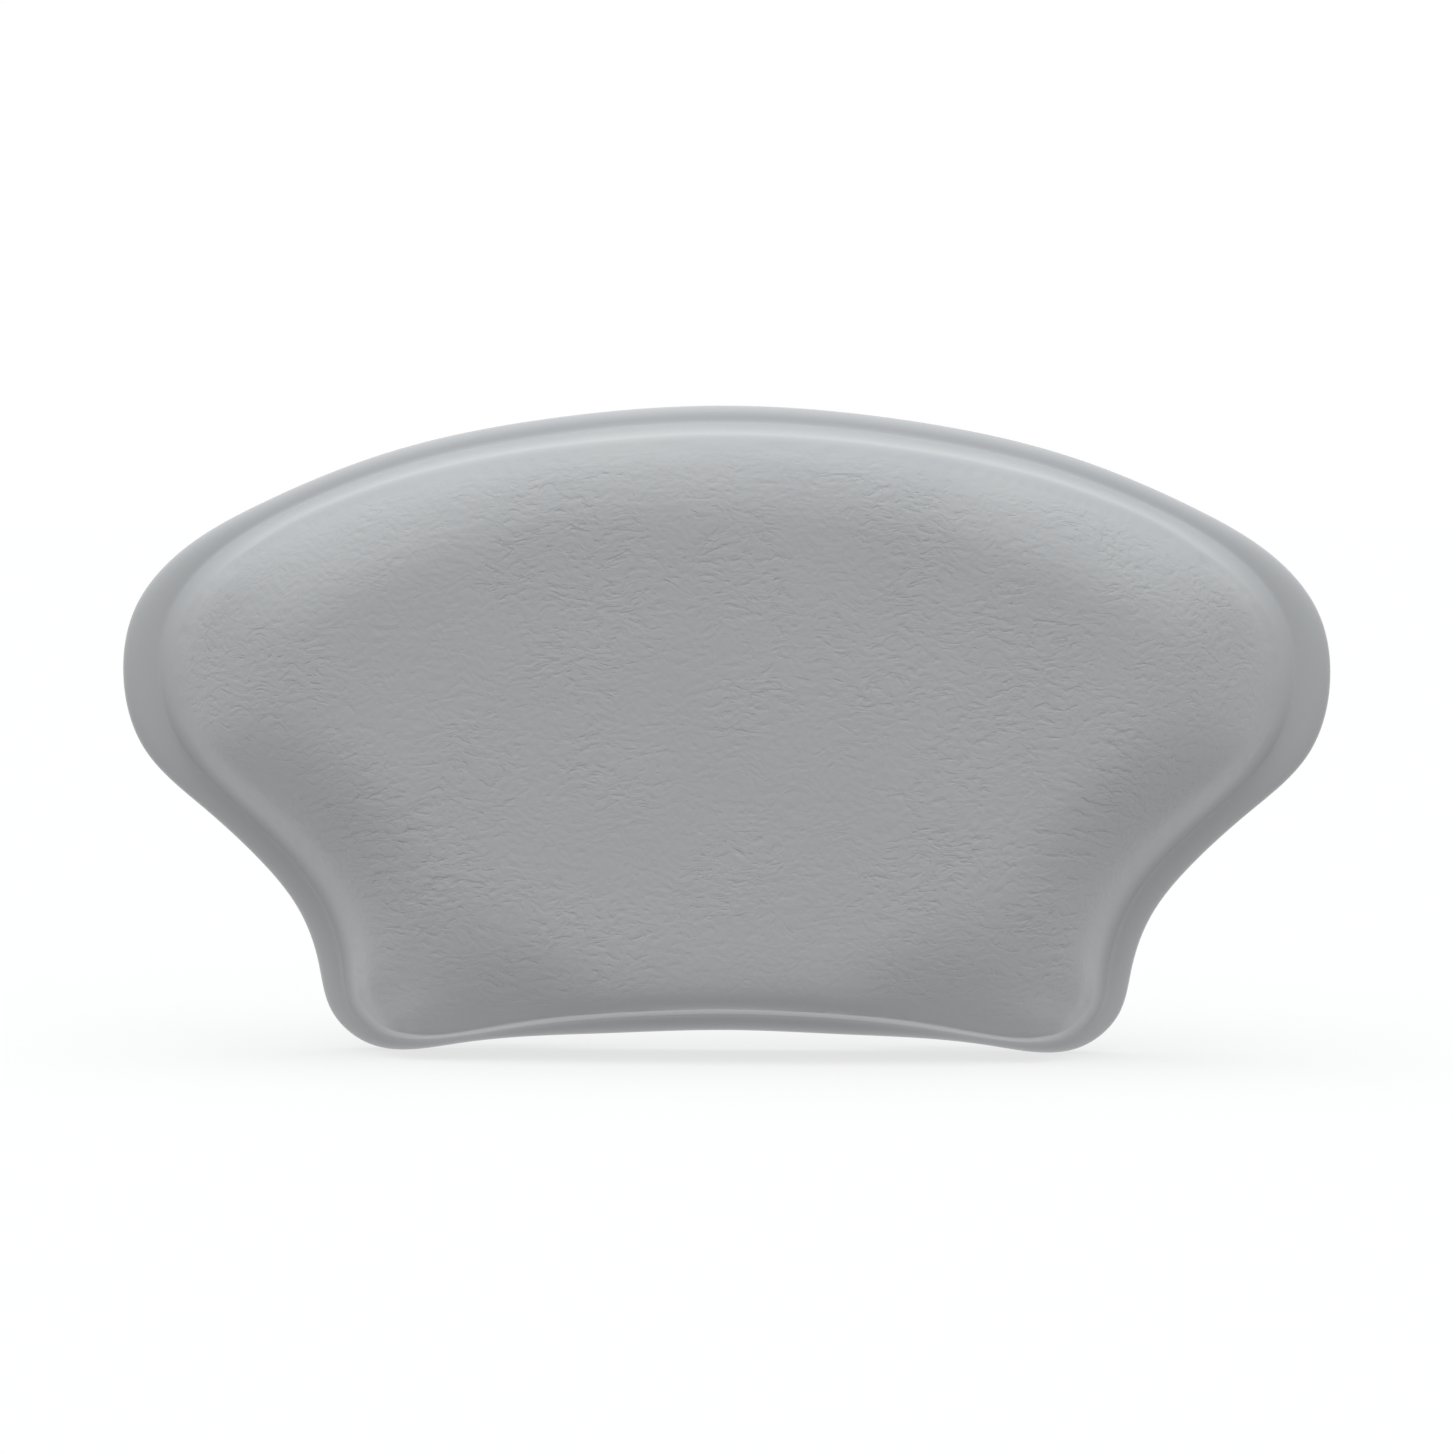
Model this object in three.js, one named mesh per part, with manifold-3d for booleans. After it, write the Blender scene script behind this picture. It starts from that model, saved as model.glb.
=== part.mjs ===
// Bath pillow, in millimetres.
// Every piece is modelled with the pillow lying on its flat back: X to the right, Y up the pillow, Z from the
// back towards the cushion's front. The group at the end stands it up, with its front towards -Y and its top
// towards +Z.
import * as THREE from "three";
import { mergeVertices } from "three/addons/utils/BufferGeometryUtils.js";
import Module from "manifold-3d";

const wasm = await Module();
wasm.setup();

// Overall size, without the suction cups; the cushion is thinner at the tips of its wings
const pillowWidth = 305;
const pillowHeight = 162.6;
const pillowThickness = 44;
const wingThickness = 22;

// Clearance between neighbouring pieces, and how far a cutting solid runs past what it cuts
const clearance = 0.3;
const overrun = 5;

// Skin
const skinThickness = 1.2;
const lipReach = 7.5;

// Flange: its thickness at the cushion's foot, and the width of the rounding on its back edge
const flangeThickness = 10;
const backEdgeReach = 4;

// Flange: its width at the named places round the pillow, from the top down to the bottom
const flangeTop = 4.6;
const flangeShoulder = 4.6;
const flangeTip = 9.5;
const flangeUnderarm = 5.8;
const flangeFlank = 6.4;
const flangeCorner = 4;
const flangeLobe = 1.6;
const flangeBottom = 4.4;

// Cushion: the width of its wall at the same places
const wallTop = 3.2;
const wallShoulder = 3.6;
const wallTip = 16;
const wallUnderarm = 11;
const wallFlank = 12;
const wallCorner = 7;
const wallLobe = 4;
const wallBottom = 5;

// Cushion: the width of the crown, from the wall to the front face, at the same places
const crownTop = 21;
const crownShoulder = 30;
const crownTip = 26;
const crownUnderarm = 28;
const crownFlank = 25;
const crownCorner = 45;
const crownLobe = 55;
const crownBottom = 10;

// Cushion: the crown's rise at the same places, as a share of the wall's and crown's width
const crownSlopeShares = {
  top: 0.5,
  shoulder: 0.8,
  tip: 0.5,
  underarm: 0.75,
  flank: 0.66,
  corner: 0.35,
  lobe: 0.25,
  bottom: 0.42,
};

// Foam pad behind the core, sheet that closes the back, and plate that carries the sockets
const padThickness = 8;
const sheetThickness = 1.5;
const plateThickness = 2.5;
const plateInset = 20;

// Suction cup
const cupRadius = 21;
const cupStand = 11;
const cupShoulderRadius = 8;
const cupWall = 2.1;
const cupRimWidth = 2;
const cupRimThickness = 1.2;
const cupNeckRadius = 4.5;
const cupHeadRadius = 6.5;
const cupHeadHeight = 3.6;
const cupHeadChamfer = 1.4;
const tabWidth = 9;
const tabReach = 7;
const tabThickness = 1.6;
const tabSetback = 0.4;

// Cup socket
const socketLip = 2;
const socketWall = 1.4;
const socketFrontWall = 1.6;
const socketChamfer = 0.8;
const socketFlangeWidth = 2.8;
const socketFlangeThickness = 2;

// Where the cups sit, as shares of the pillow's half width and half height from its middle
const upperCupShares = [0.62, 0.27];
const lowerCupShares = [0.36, -0.54];

// Fineness of curves
const samplesPerPoint = 2;
const latheSides = 24;
const curveSteps = 5;

// How round the flange and the wall are: with a higher power the flange is squarer and the wall more curved
const flangeRoundPower = 3;
const wallRoundPower = 1.5;

// Shape of the profile and of the cups, as shares
const flangeArcShare = 1.5;
const flangeRowShare = 0.3;
const crownLimitShare = 0.95;
const wallRowShares = [0.5, 1];
const crownRowShare = 0.4;
const middleShares = [0.45, 0.25];
const middleLimitShare = 0.9;
const cupOuterBendShares = [0.76, 0.2];
const cupInnerBendShares = [0.74, 0.05];

// Heights over the back plane
const padBack = Math.max(skinThickness, sheetThickness) + clearance;
const padFront = padBack + padThickness;
const coreBack = padFront + clearance;
const plateFront = padBack + plateThickness;
const chamberFront = socketLip + cupHeadHeight + 2 * clearance;
const socketFront = chamberFront + socketFrontWall;
const socketFlangeBack = plateFront + clearance;
const socketFlangeFront = socketFlangeBack + socketFlangeThickness;

// Radii of the socket, from the cup that it holds
const boreRadius = cupNeckRadius + clearance;
const chamberRadius = cupHeadRadius + clearance;
const barrelRadius = chamberRadius + socketWall;
const socketFlangeRadius = barrelRadius + socketFlangeWidth;
const barrelHoleRadius = barrelRadius + clearance;

const midway = (a, b) => (a + b) / 2;

// Edge at the named places: the widths of its flange, wall and crown, and the crown's slope
const topEdge = [flangeTop, wallTop, crownTop, crownSlopeShares.top];
const shoulderEdge = [flangeShoulder, wallShoulder, crownShoulder, crownSlopeShares.shoulder];
const tipEdge = [flangeTip, wallTip, crownTip, crownSlopeShares.tip];
const underarmEdge = [flangeUnderarm, wallUnderarm, crownUnderarm, crownSlopeShares.underarm];
const flankEdge = [flangeFlank, wallFlank, crownFlank, crownSlopeShares.flank];
const cornerEdge = [flangeCorner, wallCorner, crownCorner, crownSlopeShares.corner];
const lobeEdge = [flangeLobe, wallLobe, crownLobe, crownSlopeShares.lobe];
const bottomEdge = [flangeBottom, wallBottom, crownBottom, crownSlopeShares.bottom];
const between = (before, after, share) => (
  before.map((value, index) => THREE.MathUtils.lerp(value, after[index], share)));

// Right half of the outline, from the top centre round to the bottom centre: the place as shares of the half
// width and half height, then the edge there
const outlineShares = [
  [0, 1, topEdge],
  [0.294, 0.958, topEdge],
  [0.56, 0.851, between(topEdge, shoulderEdge, 0.5)],
  [0.775, 0.687, shoulderEdge],
  [0.915, 0.523, between(shoulderEdge, tipEdge, 0.5)],
  [0.98, 0.364, tipEdge],
  [1, 0.175, tipEdge],
  [0.965, -0.074, tipEdge],
  [0.87, -0.252, underarmEdge],
  [0.775, -0.416, flankEdge],
  [0.705, -0.585, flankEdge],
  [0.675, -0.744, flankEdge],
  [0.655, -0.884, between(flankEdge, cornerEdge, 0.5)],
  [0.595, -0.988, cornerEdge],
  [0.44, -0.988, lobeEdge],
  [0.2, -0.956, bottomEdge],
  [0, -0.944, bottomEdge],
];

const smoothClosed = (points) => new THREE.CatmullRomCurve3(points, true, "centripetal");

// Both halves of the outline, anticlockwise as seen from the front, from the top centre
function wholeOutline() {
  const left = outlineShares.map(([x, y, edge]) => [-x, y, edge]);
  const right = outlineShares.slice(1, -1).reverse();
  return [...left, ...right];
}

// Height of the front face: level across the middle, and falling towards the tips of the wings
function frontHeight(x) {
  const halfWidth = pillowWidth / 2;
  const levelReach = halfWidth * middleShares[0];
  const beyond = Math.max(0, Math.abs(x) - levelReach) / (halfWidth - levelReach);
  return pillowThickness - (pillowThickness - wingThickness) * beyond ** 2;
}

// Height of the flange over its edge, as a share, at a distance in from the outline
function flangeShare(distance, flange) {
  const rise = (reach) => {
    const left = 1 - reach / (flange * flangeArcShare);
    return (1 - left ** flangeRoundPower) ** (1 / flangeRoundPower);
  };
  return rise(distance) / rise(flange);
}

// Height of the wall and crown over the flange, as a share, at a distance in from the foot of the wall
function cushionShare(distance, wall, crown, slope) {
  const reach = wall + crown;
  const crownShare = Math.min((slope * reach) / (pillowThickness - flangeThickness), crownLimitShare);
  const wallLeft = Math.max(0, 1 - distance / wall);
  const crownLeft = Math.max(0, 1 - distance / reach);
  return (1 - crownShare) * (1 - wallLeft ** wallRoundPower) + crownShare * (1 - crownLeft ** 2);
}

// One row of the section: a distance in from the outline and a height. The inside of the skin and the foam
// follow every row but the outer ones.
const sectionRow = (reach, height, outer = false) => ({ reach, height, outer });

// Section through the edge: lip, rounded edge, flange, wall, crown and front face
function edgeProfile([flange, wall, crown, slope], toMiddle, placeAt) {
  const edgeHeight = flangeThickness / 2;
  const diagonalReach = flange * flangeRowShare;
  const rows = [
    sectionRow(lipReach, 0),
    sectionRow(backEdgeReach, 0),
    sectionRow(0, edgeHeight),
    sectionRow(diagonalReach, edgeHeight + edgeHeight * flangeShare(diagonalReach, flange), true),
    sectionRow(flange, flangeThickness),
  ];
  const cushionRow = (distance) => {
    const reach = flange + distance;
    const rise = frontHeight(placeAt(reach).x) - flangeThickness;
    rows.push(sectionRow(reach, flangeThickness + rise * cushionShare(distance, wall, crown, slope)));
  };
  for (const share of wallRowShares) {
    cushionRow(share * wall);
  }
  cushionRow(wall + crown * crownRowShare);
  cushionRow(wall + crown);
  cushionRow(toMiddle);
  return rows;
}

// Moves a section into the material by a distance, square to each of its faces; the front beyond it is flat
function movedInwards(rows, distance) {
  const last = rows.at(-1);
  const path = [...rows, sectionRow(last.reach + overrun, last.height)];
  const normals = rows.map((row, index) => {
    const reach = path[index + 1].reach - row.reach;
    const rise = path[index + 1].height - row.height;
    return new THREE.Vector2(-rise, reach).normalize();
  });
  return rows.map((row, index) => {
    const before = normals[Math.max(index - 1, 0)];
    const after = normals[index];
    const move = before.clone().add(after).multiplyScalar(distance / (1 + before.dot(after)));
    return sectionRow(row.reach - move.x, row.height - move.y, row.outer);
  });
}

// Stations round the outline: each knows its section, and turns a distance in from the outline into a place
function makeStations() {
  const points = wholeOutline();
  const places = points.map(([x, y]) => new THREE.Vector3((x * pillowWidth) / 2, (y * pillowHeight) / 2, 0));
  const placeCurve = smoothClosed(places);
  const count = points.length * samplesPerPoint;
  const stations = [];
  for (let index = 0; index < count; index++) {
    const rim = placeCurve.getPoint(index / count);
    const tangent = placeCurve.getTangent(index / count);
    const inward = new THREE.Vector3(-tangent.y, tangent.x, 0);
    const past = Math.floor(index / samplesPerPoint);
    const next = (past + 1) % points.length;
    const share = index / samplesPerPoint - past;
    const [flange, wall, crownWanted, slope] = between(points[past][2], points[next][2], share);
    const foot = rim.clone().addScaledVector(inward, flange);
    const middle = new THREE.Vector3(foot.x * middleShares[0], foot.y * middleShares[1], 0);
    const toMiddle = foot.distanceTo(middle);
    const crown = Math.min(crownWanted, toMiddle * middleLimitShare - wall);
    const towardsMiddle = middle.sub(foot).normalize();
    const placeAt = (reach) => (reach < flange
      ? rim.clone().addScaledVector(inward, reach)
      : foot.clone().addScaledVector(towardsMiddle, reach - flange));
    const at = (reach, height) => placeAt(reach).setZ(height);
    stations.push({ at, rows: edgeProfile([flange, wall, crown, slope], toMiddle, placeAt) });
  }
  return stations;
}

const stations = makeStations();

// Rings of points round the pillow, one for each row of the section moved inwards
function rings(inset, withOuter) {
  const keeps = (row) => withOuter || !row.outer;
  const sections = stations.map(({ rows }) => movedInwards(rows, inset).filter(keeps));
  const ringAt = (_, number) => stations.map((station, index) => {
    const { reach, height } = sections[index][number];
    return station.at(reach, height);
  });
  return sections[0].map(ringAt);
}

// One ring at a constant distance in from the outline and a constant height
function levelRing(inset, height) {
  return stations.map((station) => station.at(inset, height));
}

// Closed solid through rings of points, the first and last of which are flat
function loft(ringList) {
  const count = ringList[0].length;
  const positions = ringList.flat().flatMap((point) => [point.x, point.y, point.z]);
  const faces = [];
  for (let ring = 0; ring < ringList.length - 1; ring++) {
    for (let side = 0; side < count; side++) {
      const here = ring * count + side;
      const next = ring * count + ((side + 1) % count);
      faces.push(here, next, next + count);
      faces.push(here, next + count, here + count);
    }
  }
  const lastStart = (ringList.length - 1) * count;
  for (const [a, b, c] of THREE.ShapeUtils.triangulateShape(ringList[0], [])) {
    faces.push(c, b, a);
  }
  for (const [a, b, c] of THREE.ShapeUtils.triangulateShape(ringList.at(-1), [])) {
    faces.push(lastStart + a, lastStart + b, lastStart + c);
  }
  const geometry = new THREE.BufferGeometry();
  geometry.setAttribute("position", new THREE.Float32BufferAttribute(positions, 3));
  geometry.setIndex(faces);
  return geometry;
}

// Closed solid of revolution about Z, from a profile of [radius, height] that starts and ends on the axis
function lathe(profile) {
  const points = profile.map(([radius, height]) => new THREE.Vector2(radius, height));
  return new THREE.LatheGeometry(points, latheSides).rotateX(Math.PI / 2);
}

// Upright cylinder between two heights
function cylinder(radius, low, high) {
  const geometry = new THREE.CylinderGeometry(radius, radius, high - low, latheSides);
  return geometry.rotateX(Math.PI / 2).translate(0, 0, midway(low, high));
}

// Block between two heights, wider and taller than the pillow
function block(low, high) {
  const margin = 2 * overrun;
  const geometry = new THREE.BoxGeometry(pillowWidth + margin, pillowHeight + margin, high - low);
  return geometry.translate(0, 0, midway(low, high));
}

function toSolid(geometry) {
  const bare = geometry.clone();
  bare.deleteAttribute("normal");
  bare.deleteAttribute("uv");
  const merged = mergeVertices(bare);
  return new wasm.Manifold(new wasm.Mesh({
    numProp: 3,
    vertProperties: merged.attributes.position.array,
    triVerts: new Uint32Array(merged.index.array),
  }));
}

function toGeometry(solid) {
  const mesh = solid.getMesh();
  const geometry = new THREE.BufferGeometry();
  geometry.setAttribute("position", new THREE.Float32BufferAttribute(mesh.vertProperties, 3));
  geometry.setIndex([...mesh.triVerts]);
  geometry.computeVertexNormals();
  return geometry;
}

// Where a pair of cups sits, given for the right-hand one as shares of the half width and half height
function cupPair(level, [xShare, yShare]) {
  const x = (xShare * pillowWidth) / 2;
  const y = (yShare * pillowHeight) / 2;
  return [{ name: `${level}_left`, x: -x, y }, { name: `${level}_right`, x, y }];
}

// The four cups and their sockets
const cupPlaces = [...cupPair("upper", upperCupShares), ...cupPair("lower", lowerCupShares)];

// Formed skin: the pillow's outside, less the same form moved in by the skin's thickness, open at the back
function cushionSkin() {
  const outside = loft(rings(0, true));
  const mouth = levelRing(lipReach, -overrun);
  const inside = loft([mouth, ...rings(skinThickness, false)]);
  return toGeometry(toSolid(outside).subtract(toSolid(inside)));
}

// What the foam fills inside the skin
function foamBlank() {
  const [, ...insideLip] = rings(skinThickness + clearance, false);
  return toSolid(loft(insideLip));
}

// Room for each socket in the foam
function socketRoom() {
  const flangeRoom = cylinder(socketFlangeRadius + clearance, plateFront, socketFlangeFront + clearance);
  const barrelRoom = cylinder(barrelHoleRadius, -overrun, socketFront + clearance);
  const room = toSolid(flangeRoom).add(toSolid(barrelRoom));
  return cupPlaces.map(({ x, y }) => room.translate([x, y, 0]));
}

// Soft core: the crown's foam, from the pad to the skin
function foamCore() {
  let core = foamBlank().intersect(toSolid(block(coreBack, pillowThickness)));
  for (const room of socketRoom()) {
    core = core.subtract(room);
  }
  return toGeometry(core);
}

// Firm pad: the flange's foam, with a pocket in its back for the plate and the sockets
function basePad() {
  const pocketInset = plateInset - clearance;
  const pocketFront = plateFront + clearance;
  const pocket = loft([levelRing(pocketInset, 0), levelRing(pocketInset, pocketFront)]);
  let pad = foamBlank().intersect(toSolid(block(padBack, padFront))).subtract(toSolid(pocket));
  for (const room of socketRoom()) {
    pad = pad.subtract(room);
  }
  return toGeometry(pad);
}

// Flat layer in the pillow's outline, with a hole for each socket
function drilledLayer(inset, low, high) {
  let layer = toSolid(loft([levelRing(inset, low), levelRing(inset, high)]));
  const drill = toSolid(cylinder(barrelHoleRadius, low - overrun, high + overrun));
  for (const { x, y } of cupPlaces) {
    layer = layer.subtract(drill.translate([x, y, 0]));
  }
  return toGeometry(layer);
}

// Socket: a blind barrel through the sheet and plate, a flange on the plate's front, and a lip round its bore
function cupSocket() {
  return lathe([
    [0, chamberFront],
    [chamberRadius, chamberFront],
    [chamberRadius, socketLip],
    [boreRadius, socketLip],
    [boreRadius, 0],
    [barrelRadius, 0],
    [barrelRadius, socketFlangeBack],
    [socketFlangeRadius, socketFlangeBack],
    [socketFlangeRadius, socketFlangeFront],
    [barrelRadius, socketFlangeFront],
    [barrelRadius, socketFront - socketChamfer],
    [barrelRadius - socketChamfer, socketFront],
    [0, socketFront],
  ]);
}

// Points of a bend from one place to another, drawn towards a third
function bend(from, towards, to) {
  const curve = new THREE.QuadraticBezierCurve(
    new THREE.Vector2(...from),
    new THREE.Vector2(...towards),
    new THREE.Vector2(...to),
  );
  return curve.getPoints(curveSteps).map((point) => [point.x, point.y]);
}

// Release tab: a flat tongue with a round end, that hangs from the cup's rim
function releaseTab() {
  const start = cupRadius - cupRimWidth / 2;
  const end = cupRadius + tabReach - tabWidth / 2;
  const outline = new THREE.Shape();
  outline.moveTo(tabWidth / 2, -start);
  outline.lineTo(-tabWidth / 2, -start);
  outline.lineTo(-tabWidth / 2, -end);
  outline.absarc(0, -end, tabWidth / 2, Math.PI, 2 * Math.PI, false);
  outline.closePath();
  const tongue = new THREE.ExtrudeGeometry(outline, {
    depth: tabThickness,
    bevelEnabled: false,
    curveSegments: curveSteps,
  });
  return tongue.translate(0, 0, tabSetback - cupStand);
}

// Suction cup: mushroom head, neck, shoulder, bell with a hollow, flat sealing rim and release tab
function suctionCup() {
  const headBack = socketLip + clearance;
  const headFront = headBack + cupHeadHeight;
  const shoulder = -clearance;
  const ceiling = shoulder - cupWall;
  const rimInnerRadius = cupRadius - cupRimWidth;
  const [outerBendRadius, outerBendDrop] = cupOuterBendShares;
  const [innerBendRadius, innerBendDrop] = cupInnerBendShares;
  const outside = bend(
    [cupRadius, cupRimThickness - cupStand],
    [cupRadius * outerBendRadius, shoulder - cupStand * outerBendDrop],
    [cupShoulderRadius, shoulder],
  );
  const inside = bend(
    [0, ceiling],
    [rimInnerRadius * innerBendRadius, ceiling - cupStand * innerBendDrop],
    [rimInnerRadius, -cupStand],
  );
  const bell = lathe([
    ...inside,
    [cupRadius, -cupStand],
    ...outside,
    [cupNeckRadius, shoulder],
    [cupNeckRadius, headBack],
    [cupHeadRadius, headBack],
    [cupHeadRadius, headFront - cupHeadChamfer],
    [cupHeadRadius - cupHeadChamfer, headFront],
    [0, headFront],
  ]);
  return toGeometry(toSolid(bell).add(toSolid(releaseTab())));
}

function material(colour, roughness) {
  return new THREE.MeshStandardMaterial({ color: colour, roughness, metalness: 0 });
}

const skinMaterial = material(0xa0a2a4, 0.55);
const coreMaterial = material(0xd9d6cc, 0.95);
const padMaterial = material(0x8b8d8f, 0.9);
const plateMaterial = material(0xc9cccd, 0.6);
const sheetMaterial = material(0x77797b, 0.85);
const socketMaterial = material(0xb9bcbe, 0.5);
const cupMaterial = material(0xd5dcde, 0.3);

const pillow = new THREE.Group();
pillow.rotation.x = Math.PI / 2;

function addPiece(name, geometry, finish, x = 0, y = 0) {
  const piece = new THREE.Mesh(geometry, finish);
  piece.name = name;
  piece.position.set(x, y, 0);
  pillow.add(piece);
}

addPiece("cushion_skin", cushionSkin(), skinMaterial);
addPiece("foam_core", foamCore(), coreMaterial);
addPiece("base_pad", basePad(), padMaterial);
addPiece("stiffener_plate", drilledLayer(plateInset, padBack, plateFront), plateMaterial);
addPiece("back_sheet", drilledLayer(lipReach + clearance, 0, sheetThickness), sheetMaterial);

const socketGeometry = cupSocket();
const cupGeometry = suctionCup();
for (const { name, x, y } of cupPlaces) {
  addPiece(`cup_socket_${name}`, socketGeometry, socketMaterial, x, y);
  addPiece(`suction_cup_${name}`, cupGeometry, cupMaterial, x, y);
}

export default pillow;
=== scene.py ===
import math

import bmesh
import bpy
import numpy as np
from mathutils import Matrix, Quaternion, Vector
from mathutils.geometry import delaunay_2d_cdt


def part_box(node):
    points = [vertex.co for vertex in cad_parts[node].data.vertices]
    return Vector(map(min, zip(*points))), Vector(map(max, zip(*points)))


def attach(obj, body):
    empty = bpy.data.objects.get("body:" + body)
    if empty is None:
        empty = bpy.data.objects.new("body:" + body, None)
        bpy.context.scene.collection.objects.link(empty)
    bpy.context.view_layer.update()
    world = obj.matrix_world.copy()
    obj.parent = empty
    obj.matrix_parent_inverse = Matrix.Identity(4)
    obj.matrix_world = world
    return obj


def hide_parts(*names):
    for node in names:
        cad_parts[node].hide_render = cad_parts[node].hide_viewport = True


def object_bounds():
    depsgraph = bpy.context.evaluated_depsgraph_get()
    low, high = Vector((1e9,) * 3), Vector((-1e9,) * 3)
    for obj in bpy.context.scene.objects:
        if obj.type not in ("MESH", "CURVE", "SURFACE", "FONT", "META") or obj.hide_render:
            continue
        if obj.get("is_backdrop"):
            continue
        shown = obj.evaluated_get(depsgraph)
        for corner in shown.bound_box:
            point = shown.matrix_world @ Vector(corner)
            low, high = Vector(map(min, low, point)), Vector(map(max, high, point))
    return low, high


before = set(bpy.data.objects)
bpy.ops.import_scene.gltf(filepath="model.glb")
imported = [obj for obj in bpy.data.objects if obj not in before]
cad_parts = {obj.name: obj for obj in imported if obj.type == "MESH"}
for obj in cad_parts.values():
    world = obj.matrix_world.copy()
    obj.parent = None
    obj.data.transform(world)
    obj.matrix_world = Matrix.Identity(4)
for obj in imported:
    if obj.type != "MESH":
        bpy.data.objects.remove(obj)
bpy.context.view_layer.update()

MM = 0.001

# Sizes that the frame gives
skin_low, skin_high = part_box("cushion_skin")
HALF_WIDTH = skin_high.x
HALF_HEIGHT = skin_high.z
THICKNESS = -skin_low.y
SHEET_THICKNESS = -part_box("back_sheet")[0].y
PLATE_FRONT = -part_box("stiffener_plate")[0].y
PAD_BACK = -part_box("base_pad")[1].y
PAD_FRONT = -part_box("base_pad")[0].y
CORE_BACK = -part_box("foam_core")[1].y

# Sizes of the skin and the section through its edge
SKIN_THICKNESS = 1.2 * MM
LIP_REACH = 7.5 * MM
CLEARANCE = 0.3 * MM
PLATE_INSET = 20 * MM
FLANGE_THICKNESS = 10 * MM
BACK_EDGE_REACH = 4 * MM
WING_THICKNESS = 22 * MM
FLANGE_ARC_SHARE = 1.5
FLANGE_POWER = 3
CROWN_LIMIT_SHARE = 0.95
WALL_ROUND_POWER = 1.5
MIDDLE_SHARES = np.array([0.45, 0.25])
MIDDLE_LIMIT_SHARE = 0.9
LAYER_BEVEL = 0.3 * MM
BEVEL_MIDDLE_SHARE = 0.3


def edge(flange, wall, crown, slope_share):
    """Widths of the flange, wall and crown, given in mm, and the crown's rise as a share of the width of
    wall and crown together."""
    return np.array([flange * MM, wall * MM, crown * MM, slope_share])


# Sections at the named places round the pillow
TOP = edge(4.6, 2.7, 20.5, 0.52)
SHOULDER = edge(4.6, 3.6, 30, 0.8)
TIP = edge(9.5, 16, 26, 0.5)
UNDERARM = edge(5.8, 11, 28, 0.75)
FLANK = edge(6.4, 12, 25, 0.66)
CORNER = edge(4, 7, 45, 0.35)
LOBE = edge(1.6, 4, 55, 0.25)
BOTTOM = edge(4.4, 5, 10, 0.42)

# Right half of the outline, from the top centre round to the bottom centre: the place as shares of the
# half width and half height, then the section there
OUTLINE_SHARES = [
    (0, 1, TOP),
    (0.294, 0.958, TOP),
    (0.56, 0.851, (TOP + SHOULDER) / 2),
    (0.775, 0.687, SHOULDER),
    (0.915, 0.523, (SHOULDER + TIP) / 2),
    (0.98, 0.364, TIP),
    (1, 0.175, TIP),
    (0.965, -0.074, TIP),
    (0.87, -0.252, UNDERARM),
    (0.775, -0.416, FLANK),
    (0.705, -0.585, FLANK),
    (0.675, -0.744, FLANK),
    (0.655, -0.884, (FLANK + CORNER) / 2),
    (0.595, -0.988, CORNER),
    (0.44, -0.988, LOBE),
    (0.2, -0.956, BOTTOM),
    (0, -0.944, BOTTOM),
]

# Suction cup and its socket
CUP_STAND = 11 * MM
CUP_SHOULDER_RADIUS = 8 * MM
CUP_WALL = 2.1 * MM
CUP_RIM_WIDTH = 2 * MM
CUP_RIM_THICKNESS = 1.2 * MM
CUP_NECK_RADIUS = 4.5 * MM
CUP_HEAD_RADIUS = 6.5 * MM
CUP_HEAD_HEIGHT = 3.6 * MM
CUP_HEAD_CHAMFER = 1.4 * MM
TAB_WIDTH = 9 * MM
TAB_REACH = 7 * MM
TAB_THICKNESS = 1.6 * MM
TAB_SETBACK = 0.4 * MM
TAB_BEVEL = 0.4 * MM
CUP_ROUNDING = 0.35 * MM
SOCKET_LIP = 2 * MM
SOCKET_WALL = 1.4 * MM
SOCKET_FRONT_WALL = 1.6 * MM
SOCKET_FLANGE_WIDTH = 2.8 * MM
SOCKET_FLANGE_THICKNESS = 2 * MM
SOCKET_CHAMFER = 0.8 * MM
SOCKET_ROUNDING = 0.25 * MM
CHAMBER_FRONT = SOCKET_LIP + CUP_HEAD_HEIGHT + 2 * CLEARANCE
SOCKET_FRONT = CHAMBER_FRONT + SOCKET_FRONT_WALL
BARREL_RADIUS = CUP_HEAD_RADIUS + CLEARANCE + SOCKET_WALL
SOCKET_FLANGE_RADIUS = BARREL_RADIUS + SOCKET_FLANGE_WIDTH
HOLE_RADIUS = BARREL_RADIUS + CLEARANCE
PLACES = ("upper_left", "upper_right", "lower_left", "lower_right")

# Corners that the curves of the cup's hollow and bell bend towards, as shares of the radius and the stand
HOLLOW_BEND = (0.74, 0.05)
BELL_BEND = (0.76, 0.2)

# Small round mark that the mould leaves in the middle of the cup's hollow
GATE_RADIUS = 1.2 * MM
GATE_FOOT_RADIUS = 1.7 * MM
GATE_HEIGHT = 0.5 * MM
GATE_FOOT_HEIGHT = 0.02 * MM

# Grip ribs on the release tab: how far each lies past the cup's edge, and half its length
TAB_RIBS = [(1.6 * MM, 3.1 * MM), (3.1 * MM, 2.65 * MM), (4.6 * MM, 2.2 * MM)]
RIB_HALF_WIDTH = 0.45 * MM
RIB_TAPER = 0.1

# Rings of a rib, from its top down into the tab: share of its size, and height over the tab's back
RIB_LEVELS = [(0.45, -0.25 * MM), (0.8, -0.16 * MM), (1.0, 0.05 * MM)]

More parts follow.
